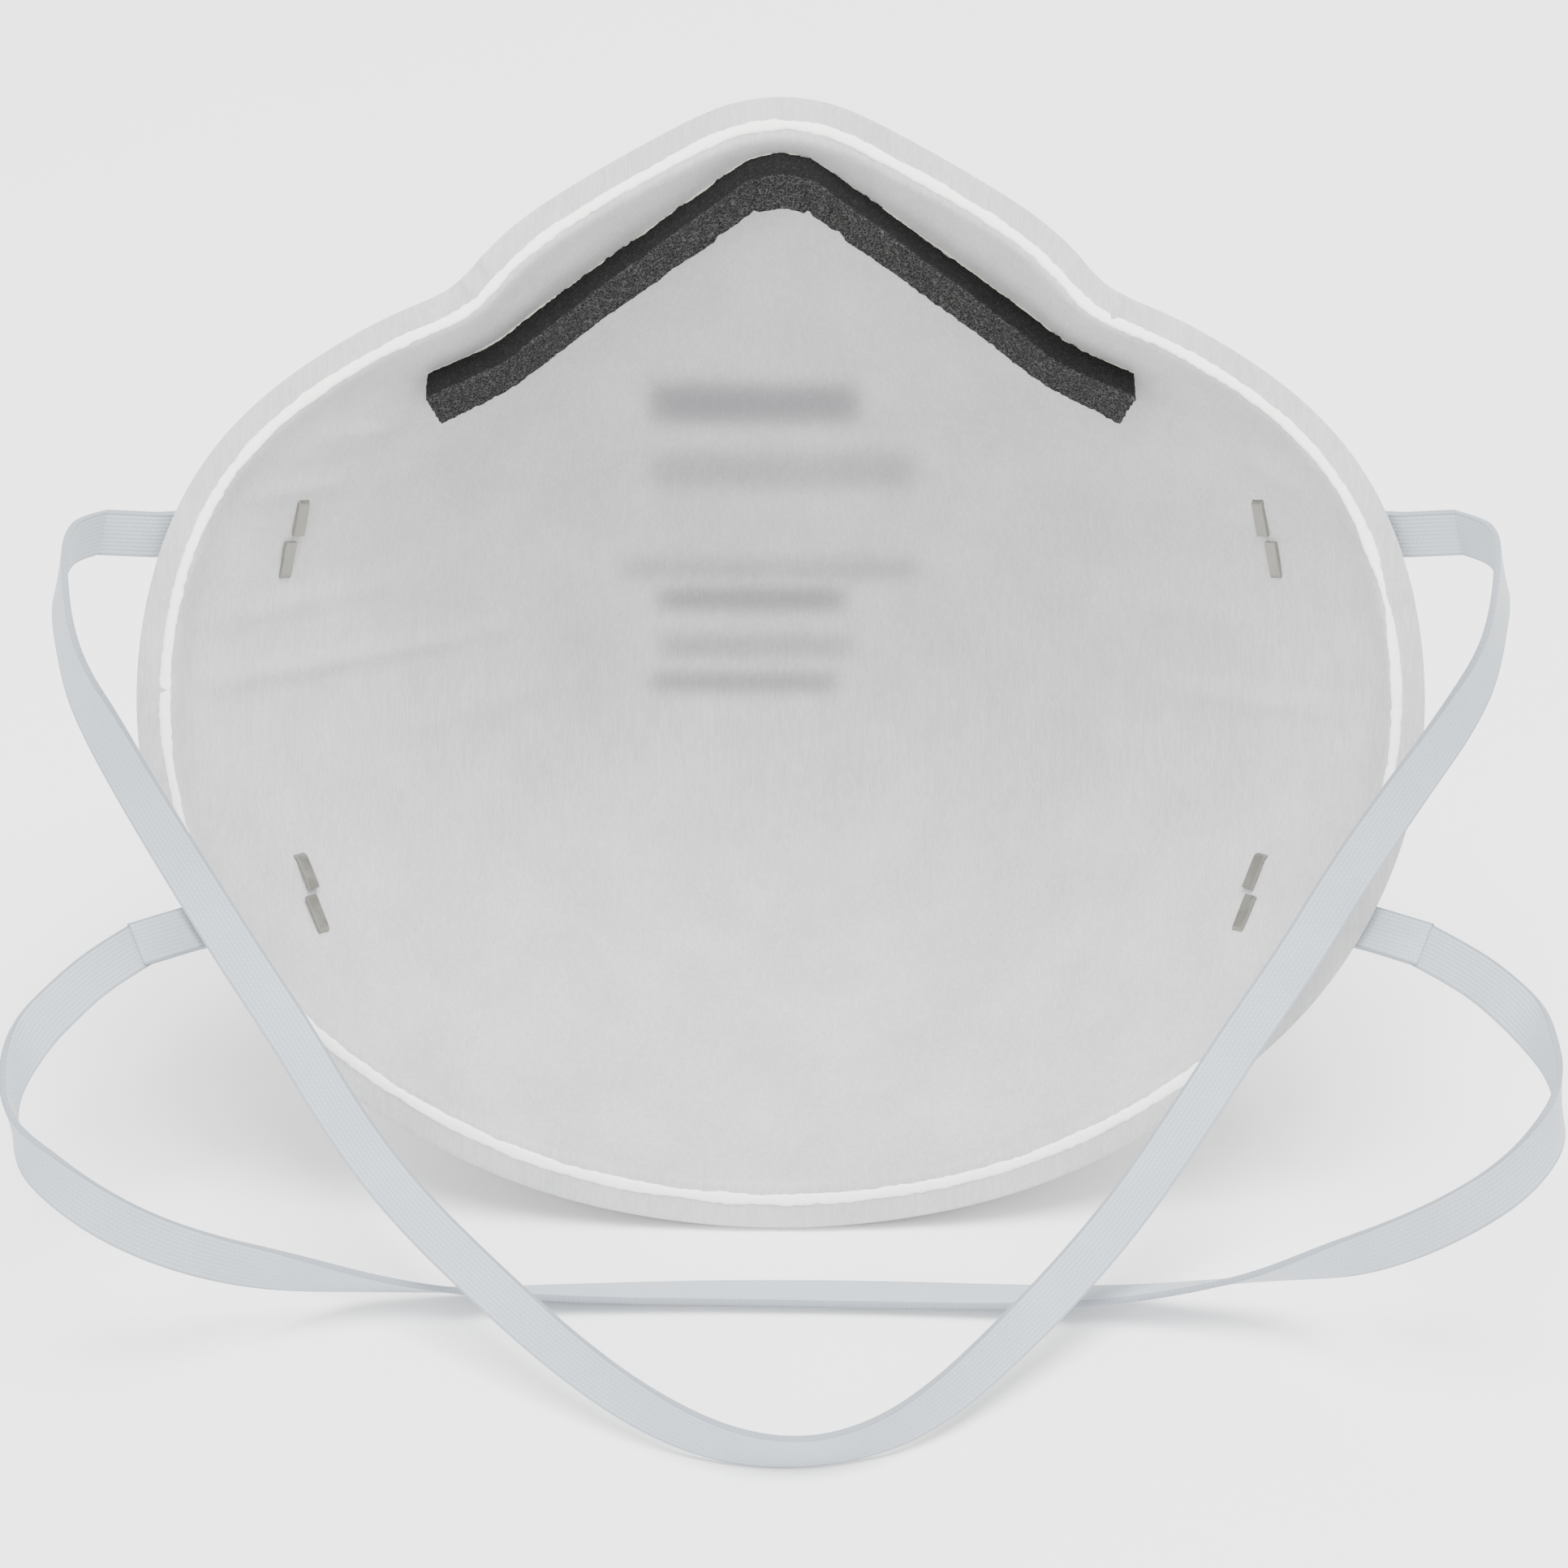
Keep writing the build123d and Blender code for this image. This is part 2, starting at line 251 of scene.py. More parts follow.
def nonwoven(name, low, high, strand_scale, ghost, roughness, sheen):
    """Matted polyester fibre, with cloudy density, loose strands and a grey print.

    ghost is the stretch of the print's own attribute that shows, and how strongly.
    """
    look, tree, shader = new_look(name, Roughness=roughness)
    shader.inputs["Sheen Weight"].default_value = sheen
    shader.inputs["Specular IOR Level"].default_value = 0.25
    where = place_of(tree)
    cloud = span(tree, grain(tree, where, 0.11, 3.0, 0.5), 0.25, 0.75)
    speck = grain(tree, where, 2.2, 4.0, 0.65)
    fibre = strands(tree, where, strand_scale, (0.25, 1.25, 2.1, 2.85))
    colour = tint(tree, summed(tree, (cloud, 0.4), (speck, 0.4), (fibre, 0.3)), low, high)
    mark = add(tree, "Attribute", attribute_name="ghost").outputs["Fac"]
    mark = span(tree, mark, ghost[0], ghost[1], 0.0, ghost[2], smooth=True)
    tree.links.new(covered(tree, mark, colour, INK), shader.inputs["Base Color"])
    bump(tree, shader, summed(tree, (fibre, 0.5), (speck, 0.8)), 0.00006, 0.8)
    return look


lining_look = nonwoven("lining_fibre", (0.36, 0.36, 0.365), (0.54, 0.54, 0.54), strand_scale=1.5,
                       ghost=(0.0, 1.0, 0.95), roughness=0.92, sheen=0.15)
cover_look = nonwoven("cover_fibre", (0.46, 0.46, 0.465), (0.64, 0.64, 0.635), strand_scale=1.9,
                      ghost=(0.42, 0.58, 0.75), roughness=0.85, sheen=0.1)


def weld_finish():
    """Fibre melted to a pale, slightly glossy line."""
    look, tree, shader = new_look("fused_weld", Roughness=0.5)
    where = place_of(tree)
    blotch = grain(tree, where, 0.9, 4.0, 0.6)
    colour = tint(tree, blotch, (0.86, 0.86, 0.83), (0.97, 0.97, 0.95))
    tree.links.new(colour, shader.inputs["Base Color"])
    tree.links.new(span(tree, blotch, 0.3, 0.7, 0.35, 0.65), shader.inputs["Roughness"])
    bump(tree, shader, grain(tree, where, 3.0, 4.0, 0.6), 0.00008, 0.8)
    return look


# Radians of pattern for each millimetre across the elastic, and along it.
RIBS = 6.9
STITCHES = 11.0


def elastic_finish():
    """Knitted flat elastic: fine ribs along it, stitches across them, and painted shade darkening
    its edges.
    """
    look, tree, shader = new_look("elastic_band", Roughness=0.75)
    shader.inputs["Sheen Weight"].default_value = 0.25
    shader.inputs["Specular IOR Level"].default_value = 0.35
    place = place_of(tree)
    where = add(tree, "SeparateXYZ", {0: place})
    along, across = where.outputs[0], where.outputs[1]
    wave = maths(tree, "SINE", maths(tree, "MULTIPLY", across, RIBS))
    rib = maths(tree, "ABSOLUTE", wave)
    stagger = maths(tree, "MULTIPLY", maths(tree, "SIGN", wave), 1.57)
    stitch = maths(tree, "ADD", maths(tree, "MULTIPLY", along, STITCHES), stagger)
    stitch = span(tree, maths(tree, "SINE", stitch), -1.0, 1.0)
    weave = summed(tree, (rib, 0.6), (stitch, 0.4))
    shade = summed(tree, (weave, 0.5), (grain(tree, place, 0.12, 2.0), 0.5))
    colour = tint(tree, shade, (0.31, 0.35, 0.39), (0.47, 0.52, 0.57))
    # Painted shade: the band's edges and sides are darkened.
    edge = span(tree, maths(tree, "ABSOLUTE", across), 2.2, 2.42, 0.0, 0.6)
    tree.links.new(covered(tree, edge, colour, (0.14, 0.16, 0.19)), shader.inputs["Base Color"])
    fuzz = maths(tree, "MULTIPLY", grain(tree, place, 3.5, 3.0), 0.35)
    bump(tree, shader, maths(tree, "ADD", weave, fuzz), 0.00009, 0.7)
    return look


elastic = elastic_finish()


def foam_finish():
    """Open-cell foam: dark pores between paler walls, with painted shade making the strip's upper
    side darker.
    """
    look, tree, shader = new_look("open_cell_foam", Roughness=0.95)
    shader.inputs["Specular IOR Level"].default_value = 0.15
    where = place_of(tree)
    wobble = add(tree, "TexNoise", {"Vector": where, "Scale": 1.3, "Detail": 2.0}).outputs["Color"]
    moved = add(tree, "VectorMath", {0: where, 1: wobble}, operation="ADD").outputs[0]
    cell = add(tree, "TexVoronoi", {"Vector": moved, "Scale": 2.6, "Randomness": 1.0},
               feature="DISTANCE_TO_EDGE").outputs[0]
    fine = add(tree, "TexVoronoi", {"Vector": where, "Scale": 5.0},
               feature="DISTANCE_TO_EDGE").outputs[0]
    pore = maths(tree, "ADD", span(tree, cell, 0.02, 0.16, 0.0, 0.7),
                 span(tree, fine, 0.02, 0.2, 0.0, 0.4))
    # Painted shade: faces of the strip that point up the cup get a darker wall colour.
    painted_shade_upper_side = add(tree, "Attribute", attribute_name="painted_shade_upper_side").outputs["Fac"]
    walls = tint(tree, painted_shade_upper_side, (0.10, 0.10, 0.098), (0.022, 0.022, 0.022))
    colour = covered(tree, pore, walls, (0.006, 0.006, 0.006))
    tree.links.new(colour, shader.inputs["Base Color"])
    bump(tree, shader, maths(tree, "SUBTRACT", 1.0, pore), 0.00018, 1.0)
    return look


def metal_finish(name, colour, roughness, stretch):
    """Brushed metal with dull patches; stretch sets the way its scratches run."""
    look, tree, shader = new_look(name, Metallic=1.0, Roughness=roughness)
    where = row_place(tree)
    scratch = grain(tree, where, 900.0, 3.0, 0.6, stretch)
    dark = tuple(0.72 * c for c in colour)
    patchy = tint(tree, grain(tree, where, 240.0, 3.0), dark, colour)
    tree.links.new(patchy, shader.inputs["Base Color"])
    matt = span(tree, scratch, 0.3, 0.7, roughness - 0.1, roughness + 0.15)
    tree.links.new(matt, shader.inputs["Roughness"])
    bump(tree, shader, scratch, 0.00002, 0.6)
    return look


def mottled_finish(name, roughness, low, high, patches, lumps, detail, strength):
    """A plain material of two close colours, for the layers that hardly show."""
    look, tree, shader = new_look(name, Roughness=roughness)
    where = row_place(tree)
    colour = tint(tree, grain(tree, where, patches, detail), low, high)
    tree.links.new(colour, shader.inputs["Base Color"])
    bump(tree, shader, grain(tree, where, lumps, detail), 0.0001, strength)
    return look


def repaint(node, look):
    slots = frame["nodes"][node].material_slots
    for slot in slots:
        slot.material = look
    if not slots:
        frame["nodes"][node].data.materials.append(look)


staple_look = metal_finish("staple_wire", (0.36, 0.35, 0.31), 0.42, (1.0, 1.0, 0.15))
clip_look = metal_finish("soft_aluminium", (0.80, 0.81, 0.83), 0.34, (0.06, 1.0, 1.0))
repaint("nose_clip", clip_look)
repaint("filter_web", mottled_finish("blown_fibre_web", 0.95, (0.72, 0.72, 0.71),
                                     (0.86, 0.86, 0.85), 500.0, 1500.0, 4.0, 0.8))
for node in ("nose_foam_glue", "nose_clip_glue"):
    repaint(node, mottled_finish("hot_glue", 0.35, (0.62, 0.58, 0.48), (0.78, 0.75, 0.66),
                                 300.0, 500.0, 3.0, 0.7))


# ---------------------------------------------------------------- meshes
def mesh_object(name, points, faces, texture, node, slot, material, body=None, crease=50):
    """A smooth mesh in the row frame; texture holds each vertex's place in the pattern."""
    mesh = bpy.data.meshes.new(name)
    mesh.from_pydata([tuple(p) for p in points], [], faces)
    mesh.validate()
    shape = bmesh.new()
    shape.from_mesh(mesh)
    bmesh.ops.recalc_face_normals(shape, faces=shape.faces)
    shape.to_mesh(mesh)
    shape.free()
    mesh.polygons.foreach_set("use_smooth", [True] * len(mesh.polygons))
    mesh.set_sharp_from_angle(angle=math.radians(crease))
    place = mesh.attributes.new("place", "FLOAT_VECTOR", "POINT")
    place.data.foreach_set("vector", np.asarray(texture, np.float32).ravel())
    mesh.materials.append(material)
    piece = bpy.data.objects.new(name, mesh)
    bpy.context.scene.collection.objects.link(piece)
    if body:
        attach(piece, body)
    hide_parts(node)
    return piece


def mark_vertices(piece, name, values):
    """A number for each vertex, which a material reads by name."""
    mark = piece.data.attributes.new(name, "FLOAT", "POINT")
    mark.data.foreach_set("value", values.astype(np.float32))


def unit(v):
    v = np.asarray(v, float)
    return v / np.linalg.norm(v, axis=-1, keepdims=True)


def section(width, thickness):
    """Outline of a band's cut end: (across, through) points, with soft corners."""
    half, deep = width / 2, thickness / 2
    corner = 0.1 * thickness
    face = [(-half + corner + t * (width - 2 * corner), deep) for t in np.linspace(0, 1, 13)]
    side = [(half, 0.55 * deep), (half + 0.04 * thickness, 0.0), (half, -0.55 * deep)]
    right = face + side
    return right + [(-x, -y) for x, y in right]


def wrapped(rows, count, closed=False):
    """Faces round a stack of rings; closed also joins the last ring to the first."""
    faces = []
    for i in range(rows if closed else rows - 1):
        after = (i + 1) % rows
        for j in range(count):
            k = (j + 1) % count
            faces.append((i * count + j, i * count + k, after * count + k, after * count + j))
    return faces


def ribbon(name, centres, widths, width, thickness, **where):
    """A band swept along its centres, in metres, with the given width direction at each."""
    centres = np.asarray(centres, float)
    along = unit(np.gradient(centres, axis=0))
    widths = np.asarray(widths, float)
    widths = unit(widths - np.sum(widths * along, 1, keepdims=True) * along)
    through = np.cross(along, widths)
    outline = np.array(section(width, thickness))
    rings = (
        centres[:, None]
        + outline[None, :, :1] * widths[:, None]
        + outline[None, :, 1:] * through[:, None]
    )
    rows, count = len(centres), len(outline)
    faces = wrapped(rows, count)
    faces += [tuple(range(count)), tuple(range((rows - 1) * count, rows * count))]
    run = np.concatenate([[0], np.cumsum(np.linalg.norm(np.diff(centres, axis=0), axis=1))]) / MM
    texture = np.zeros((rows, count, 3))
    texture[:, :, 0] = run[:, None]
    texture[:, :, 1:] = outline[None] / MM
    return mesh_object(name, rings.reshape(-1, 3), faces, texture.reshape(-1, 3), **where)


def arc(centre, radius, start, turn, steps):
    """Points on a flat arc, in the two coordinates of the plane that it is drawn in."""
    angles = np.linspace(start, start + turn, steps)
    return [(centre[0] + radius * math.cos(t), centre[1] + radius * math.sin(t)) for t in angles]


# ---------------------------------------------------------------- head straps
def tab_frame(node, side):
    """Origin and axes of a folded end: across the band, the way it leaves, away from the cup."""
    mesh = frame["nodes"][node].data
    points = np.array([v.co for v in mesh.vertices])
    largest = max(mesh.polygons, key=lambda p: p.area)
    corners = points[list(largest.vertices)]
    edges = [corners[i] - corners[i - 1] for i in range(len(corners))]
    across = unit(min(edges, key=np.linalg.norm))
    away = unit(np.array(largest.normal))
    away = away if away @ TO_WEARER < 0 else -away
    leaving = np.cross(away, across)
    if leaving[0] * side < 0:
        across, leaving = -across, -leaving
    low = (points @ away).min()
    behind = (points @ leaving).min() + TAB_BEHIND * MM
    middle = ((points @ across).min() + (points @ across).max()) / 2
    return across * middle + leaving * behind + away * low, across, leaving, away


def tab_path(along):
    """The band's centre line from its cut end, round the fold and out again: (leaving, away)."""
    near, far = STRAP_THICKNESS / 2, 1.5 * STRAP_THICKNESS
    out = np.array([math.cos(TAB_TURN), math.sin(TAB_TURN)])
    up = np.array([-out[1], out[0]])
    bend = np.array([along, 0.0])
    fold = STRAP_THICKNESS - TAB_BEHIND
    flat = np.linspace(along - 0.8, fold + 1.0, 12)
    lower = [bend + out * TAB_FREE * t + up * near for t in (1, 0.66, 0.33, 0.08)]
    lower += [np.array([x, near]) for x in flat]
    turn = arc((fold, STRAP_THICKNESS), near, -math.pi / 2, -math.pi, 7)
    upper = [np.array([x, far]) for x in flat[::-1]]
    upper += [bend + out * TAB_FREE * t + up * far for t in (0.08, 0.33, 0.6, BAND_START)]
    return lower + [np.array(p) for p in turn] + upper


TABS = {}
for level in ("upper", "lower"):
    for side_name, side in (("left", -1), ("right", 1)):
        TABS[level, side_name] = tab_frame(f"{level}_strap_{side_name}_end", side)


def in_tab(tab, leaving, away, across=0.0):
    """A place in a folded end's own axes, in millimetres, to the row frame."""
    origin, x, y, z = tab
    return origin + MM * (across * x + leaving * y + away * z)


# How the bands lie: control point number, then the way their upper edge faces, in the cup
# frame.
UPPER_TWIST = [
    (0, (0.15, 1.0, 0.0)), (2, (0.15, 1.0, 0.1)), (4, (0.4, 0.35, 0.84)),
    (6, (0.8, 0.45, 0.42)), (8, (0.9, 0.42, 0.05)), (11, (0.85, 0.52, 0.1)),
    (13, (0.78, 0.62, 0.2)), (14.5, (0.5, 0.8, 0.35)), (17, (0.0, 0.66, 0.75)),
    (19.5, (-0.5, 0.8, 0.35)), (21, (-0.78, 0.62, 0.2)), (23, (-0.85, 0.52, 0.1)),
    (26, (-0.9, 0.42, 0.05)), (28, (-0.8, 0.45, 0.42)), (30, (-0.4, 0.35, 0.84)),
    (32, (-0.15, 1.0, 0.1)), (34, (-0.15, 1.0, 0.0)),
]
LOWER_TWIST = [
    (0, (-0.3, 0.95, 0.0)), (2, (-0.66, 0.75, 0.0)), (4, (-0.1, 0.25, 1.0)),
    (5.5, (0.5, 0.75, 0.4)), (7, (0.3, 0.95, 0.1)), (8.3, (-0.17, 0.8, 0.5)),
    (10.5, (-0.05, 0.15, 1.0)), (12.5, (0.0, -0.28, 0.96)), (15.5, (0.0, -0.28, 0.96)),
    (17.5, (0.05, 0.15, 1.0)), (19.2, (0.17, 0.8, 0.5)), (20.5, (-0.3, 0.95, 0.1)),
    (22, (-0.5, 0.75, 0.4)), (23.5, (0.1, 0.25, 1.0)), (25.5, (0.66, 0.75, 0.0)),
    (27, (0.3, 0.95, 0.0)),
]


def route_line(control):
    """Points read from the smooth curve that has these control points."""
    curve = bpy.data.curves.new("route", "CURVE")
    curve.dimensions = "3D"
    curve.resolution_u = 12
    spline = curve.splines.new("NURBS")
    spline.points.add(len(control) - 1)
    for point, place in zip(spline.points, control):
        point.co = (*place, 1.0)
    spline.order_u = 3
    spline.use_endpoint_u = True
    holder = bpy.data.objects.new("route", curve)
    line = bpy.data.meshes.new_from_object(holder)
    points = np.array([v.co for v in line.vertices])
    bpy.data.objects.remove(holder)
    bpy.data.curves.remove(curve)
    bpy.data.meshes.remove(line)
    return points


def turned_widths(twist, controls, count):
    """The width direction at each of count points, between the ones that are listed."""
    keys = np.array([k for k, _ in twist])
    ways = unit(np.array([w for _, w in twist])) @ CUP_AXES
    at = np.linspace(0, controls - 1, count)
    return unit(np.stack([smooth_between(keys, ways[:, i], at) for i in range(3)], 1))


def hermite(t, step, start, end, leaving, arriving):
    """A cubic from start to end over a step, with these slopes; t runs from 0 to 1."""
    return (
        (2 * t**3 - 3 * t**2 + 1) * start
        + (t**3 - 2 * t**2 + t) * step * leaving
        + (3 * t**2 - 2 * t**3) * end
        + (t**3 - t**2) * step * arriving
    )


def smooth_between(keys, values, at):
    """A curve through the values that doesn't overshoot much, with slopes from neighbours."""
    slope = np.gradient(values, keys)
    i = np.clip(np.searchsorted(keys, at, side="right") - 1, 0, len(keys) - 2)
    step = keys[i + 1] - keys[i]
    t = (at - keys[i]) / step
    return hermite(t, step, values[i], values[i + 1], slope[i], slope[i + 1])


# Points of the line over which a band turns from its folded end's way to its own.
EASE_POINTS = 26


def head_strap(level, route, twist):
    """One elastic band, from inside its left folded end to inside its right one."""
    out = TAB_FREE * BAND_START
    height = 1.5 * STRAP_THICKNESS
    leaving = TAB_ALONG[level] + out * math.cos(TAB_TURN) - height * math.sin(TAB_TURN)
    away = out * math.sin(TAB_TURN) + height * math.cos(TAB_TURN)
    left, right = [in_tab(TABS[level, side_name], leaving, away) for side_name in ("left", "right")]
    control = [left] + [np.array(p) for p in route] + [right]
    line = route_line(control)
    widths = turned_widths(twist, len(control), len(line))
    for backwards, side_name in ((False, "left"), (True, "right")):
        x = TABS[level, side_name][1]
        x = x if x @ UP_FACE > 0 else -x
        for i in range(EASE_POINTS):
            share = 1 - (i / EASE_POINTS) ** 2
            k = -1 - i if backwards else i
            widths[k] = unit(share * x + (1 - share) * widths[k])
    band = ribbon(f"{level}_head_strap", line, widths, STRAP_WIDTH * MM, STRAP_THICKNESS * MM,
                  node=f"{level}_strap", slot="elastic", material=elastic)
    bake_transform(band)


def folded_end(level, side_name):
    """A band's end, doubled back on itself under its staple."""
    tab = TABS[level, side_name]
    centres = [in_tab(tab, *p) for p in tab_path(TAB_ALONG[level])]
    ribbon(f"{level}_{side_name}_folded_end", centres, [tab[1]] * len(centres), STRAP_WIDTH * MM,
           (STRAP_THICKNESS - FOLD_SLACK) * MM, body="mask",
           node=f"{level}_strap_{side_name}_end", slot="elastic", material=elastic)


for key in TABS:
    folded_end(*key)
head_strap("upper", UPPER_ROUTE, UPPER_TWIST)
head_strap("lower", LOWER_ROUTE, LOWER_TWIST)


# ---------------------------------------------------------------- cup and flange
PER_SPAN = 12
WALL_STEPS = 320


def full_ring(half):
    """Close a right half, given from bottom to top, with its mirror image."""
    return half + [(-x, y) for x, y in reversed(half[1:-1])]


def offset_ring(ring, distance):
    """Move each point of a counter-clockwise ring outwards, square to its neighbours."""
    ring = np.asarray(ring, float)
    along = unit(np.roll(ring, -1, 0) - np.roll(ring, 1, 0))
    return ring + distance * np.stack([along[:, 1], -along[:, 0]], 1)


def smooth_ring(points, share):
    """Samples of the closed cubic curve through the points, a share of them in each span."""
    p = np.asarray(points, float)
    count = len(p)
    step = np.linalg.norm(np.roll(p, -1, 0) - p, axis=1)
    matrix = np.zeros((count, count))
    right = np.zeros_like(p)
    for i in range(count):
        before, after = step[i - 1], step[i]
        matrix[i, i - 1] += after
        matrix[i, i] += 2 * (before + after)
        matrix[i, (i + 1) % count] += before
        rise, next_rise = p[i] - p[i - 1], p[(i + 1) % count] - p[i]
        right[i] = 3 * (after * rise / before + before * next_rise / after)
    slope = np.linalg.solve(matrix, right)
    t = (np.arange(share) / share)[None, :, None]
    curve = hermite(t, step[:, None, None], p[:, None], np.roll(p, -1, 0)[:, None],
                    slope[:, None], np.roll(slope, -1, 0)[:, None])
    return curve.reshape(-1, p.shape[1])


def saddle(points, depth=0.0):
    """Height of the rim's surface, which falls back towards nose and chin."""
    return -depth - RIM_SAG * (points[..., 1] / RIM_REACH) ** 2


def cup_wall():
    """The cup's inner face as rings from above the rim to its middle, with outward normals."""
    rim = smooth_ring(offset_ring(full_ring(FLANGE_EDGE), -FLANGE_WIDTH - WELD_WIDTH), PER_SPAN)
    step = np.hypot(np.diff(CUP_LEVELS[:, 0]), RIM_REACH * np.diff(CUP_LEVELS[:, 1]))
    run = np.concatenate([[0], np.cumsum(step)])
    at = np.linspace(0, run[-1], WALL_STEPS)
    columns = [smooth_between(run, CUP_LEVELS[:, i], at)[:, None] for i in range(4)]
    depth, size, drop, roundness = columns
    turn = np.arctan2(rim[:, 1] / OVAL[1], rim[:, 0] / OVAL[0])
    oval = np.stack([OVAL[0] * np.cos(turn), OVAL[1] * np.sin(turn)], 1)
    across = size * (rim[:, 0] + roundness * (oval[:, 0] - rim[:, 0]))
    up = size * (rim[:, 1] + roundness * (oval[:, 1] - rim[:, 1])) - drop
    face = np.stack([across, up, np.repeat(-depth, len(rim), 1)], 2)
    inward = np.gradient(face, axis=0)
    round_it = np.roll(face, -1, 1) - np.roll(face, 1, 1)
    return face, unit(np.cross(inward, round_it))


WALL_FACE, WALL_OUT = cup_wall()
OUTLINE = smooth_ring(full_ring(FLANGE_EDGE), PER_SPAN)


def cup_rings(out, depth):
    """Rings over one face of the flange and cup: out from the inner face, depth behind the rim."""
    face = WALL_FACE + out * WALL_OUT
    clear = face[..., 2] - saddle(face, depth)
    start = np.array([np.argmax(clear[:, j] < 0) for j in range(face.shape[1])])
    before = clear[start - 1, np.arange(len(start))]
    after = clear[start, np.arange(len(start))]
    first = start - 1 + before / (before - after)
    wall = []
    for share in WALL_SHARES:
        at = first + (WALL_STEPS - 1 - first) * share
        i = np.clip(at.astype(int), 0, WALL_STEPS - 2)
        t = (at - i)[:, None]
        j = np.arange(len(at))
        wall.append(face[i, j] * (1 - t) + face[i + 1, j] * t)
    edge = np.concatenate([OUTLINE, saddle(OUTLINE, depth)[:, None]], 1)
    flange = []
    for share in FLANGE_SHARES:
        ring = edge + share * (wall[0] - edge)
        ring[:, 2] = saddle(ring, depth)
        flange.append(ring)
    return softened(np.array(flange + wall))


def softened(rings):
    """Round the corner between flange and cup by easing the rings across it."""
    first, last = CORNER - 2, CORNER + 4
    for _ in range(3):
        beside = rings[first - 1:last - 1] + rings[first + 1:last + 1]
        rings[first:last] = 0.5 * rings[first:last] + 0.25 * beside
    return rings


def past_corner(rings, start, reach):
    """For each ring, how far it is into the cup, from 0 to 1 over a reach in rings."""
    return np.clip((np.arange(len(rings))[:, None] - CORNER - start) / reach, 0, 1)


def normals_of(rings):
    """Unit normals of a stack of rings, on the wearer's side."""
    inward = np.gradient(rings, axis=0)
    round_it = np.roll(rings, -1, 1) - np.roll(rings, 1, 1)
    return unit(np.cross(round_it, inward))


def rough(points, reach, seed):
    """Smooth noise from -1 to 1 at each point, with bumps about that reach across."""
    flat = np.asarray(points).reshape(-1, 3) / reach + seed
    return np.array([noise.noise(Vector(p)) for p in flat]).reshape(np.asarray(points).shape[:-1])


def creases(points, lines):
    """Depth of shallow folds, each from one (a, b) place to another, with a width and depth."""
    total = np.zeros(points.shape[:-1])
    for start, end, width, depth in lines:
        s, e = np.array(start), np.array(end)
        t = np.clip((points[..., :2] - s) @ (e - s) / ((e - s) @ (e - s)), 0, 1)
        off = np.linalg.norm(points[..., :2] - s - t[..., None] * (e - s), axis=-1)
        ends = np.clip(4 * t * (1 - t) + 0.15, 0, 1)
        total += depth * ends * np.exp(-((off / width) ** 2))
    return total


def soft_bars(points, blur):
    """How strongly the printed bars cover each point."""
    def step(x):
        return 1 / (1 + np.exp(-x / blur))

    total = np.zeros(points.shape[:-1])
    a, b = points[..., 0], points[..., 1]
    for left, right, low, high, weight in PRINT_BARS:
        cover = step(a - left) * step(right - a) * step(b - low) * step(high - b)
        total = np.maximum(total, weight * cover)
    return total


def skin(name, front, back, printed, **where):
    """A closed web from its front and back rings, which run from the trimmed edge to the middle."""
    rows, count = front.shape[:2]
    points = np.concatenate([front.reshape(-1, 3), back.reshape(-1, 3), front[-1].mean(0)[None],
                             back[-1].mean(0)[None]])
    faces = []
    other = rows * count
    last = other - count
    for j in range(count):
        k = (j + 1) % count
        for i in range(rows - 1):
            a, b = i * count, (i + 1) * count
            faces.append((a + j, a + k, b + k, b + j))
            faces.append((other + a + k, other + a + j, other + b + j, other + b + k))
        faces.append((k, j, other + j, other + k))
        faces.append((last + j, last + k, 2 * other))
        faces.append((other + last + k, other + last + j, 2 * other + 1))
    piece = mesh_object(name, to_row(points), faces, points, body="mask", **where)
    mark_vertices(piece, "ghost", printed(points))


FLANGE_SHARES = (0.0, 0.04, 0.12, 0.25, 0.4, 0.55, 0.68, 0.8, 0.92)
WALL_SHARES = tuple(np.concatenate([[0, 0.006, 0.013, 0.021, 0.031], np.linspace(0.043, 1, 92)]))
CORNER = len(FLANGE_SHARES)

# Shallow folds pressed into the lining, as (start, end, width, depth) in the cup frame.
LINING_CREASES = [
    ((-67, -3.0), (-30, 4.5), 1.1, 0.30), ((-66, 4.0), (-42, 10.0), 1.4, 0.22),
    ((-65, 17.5), (-47, 21.0), 1.0, 0.26), ((-60, 22.0), (-36, 30.0), 1.6, 0.20),
    ((-46, -8.0), (-22, -1.5), 1.6, 0.16), ((-52, 25.5), (-43, 27.0), 0.8, 0.2),
    ((66, 16.0), (49, 24.0), 1.2, 0.2), ((67, -6.0), (44, -3.0), 1.3, 0.18),
    ((60, 27.0), (45, 29.5), 1.0, 0.2), ((52, 5.0), (30, 9.0), 1.8, 0.12),
    ((8.5, 43.0), (31, 31.0), 1.4, 0.14), ((-14, -30), (10, -33), 2.4, 0.10),
]
LINING_CREASE_SCALE = 2.2
# Small ridges in the flange, in the same way.
FLANGE_FOLDS = [
    ((-34.4, 47.2), (-32.2, 43.0), 0.55, 0.24), ((-36.2, 43.4), (-33.5, 40.4), 0.8, 0.2),
    ((38.6, 42.4), (36.6, 37.6), 0.5, 0.2), ((34.0, 46.4), (31.8, 42.6), 0.6, 0.16),
    ((31.8, 47.6), (29.6, 43.8), 0.6, 0.12), ((71.2, 8.0), (67.0, 7.2), 0.5, 0.15),
    ((-71.0, -3.0), (-67.0, -3.2), 0.5, 0.12), ((45.5, -51.0), (43.0, -47.4), 0.6, 0.14),
]
FLANGE_FOLD_SCALE = 2.4
# Grey print on the outside that shows through the lining, as plain bars: left, right, low,
# high, weight.
PRINT_BARS = [
    (-15.5, 9.5, 27.5, 32.5, 0.8), (-15.5, 16.0, 20.0, 25.0, 0.55), (-19.0, 17.0, 9.5, 12.5, 0.6),
    (-15.0, 8.0, 6.0, 9.0, 0.9), (-15.0, 9.0, 0.2, 3.6, 0.65), (-16.0, 7.0, -3.6, -1.0, 0.9),
]


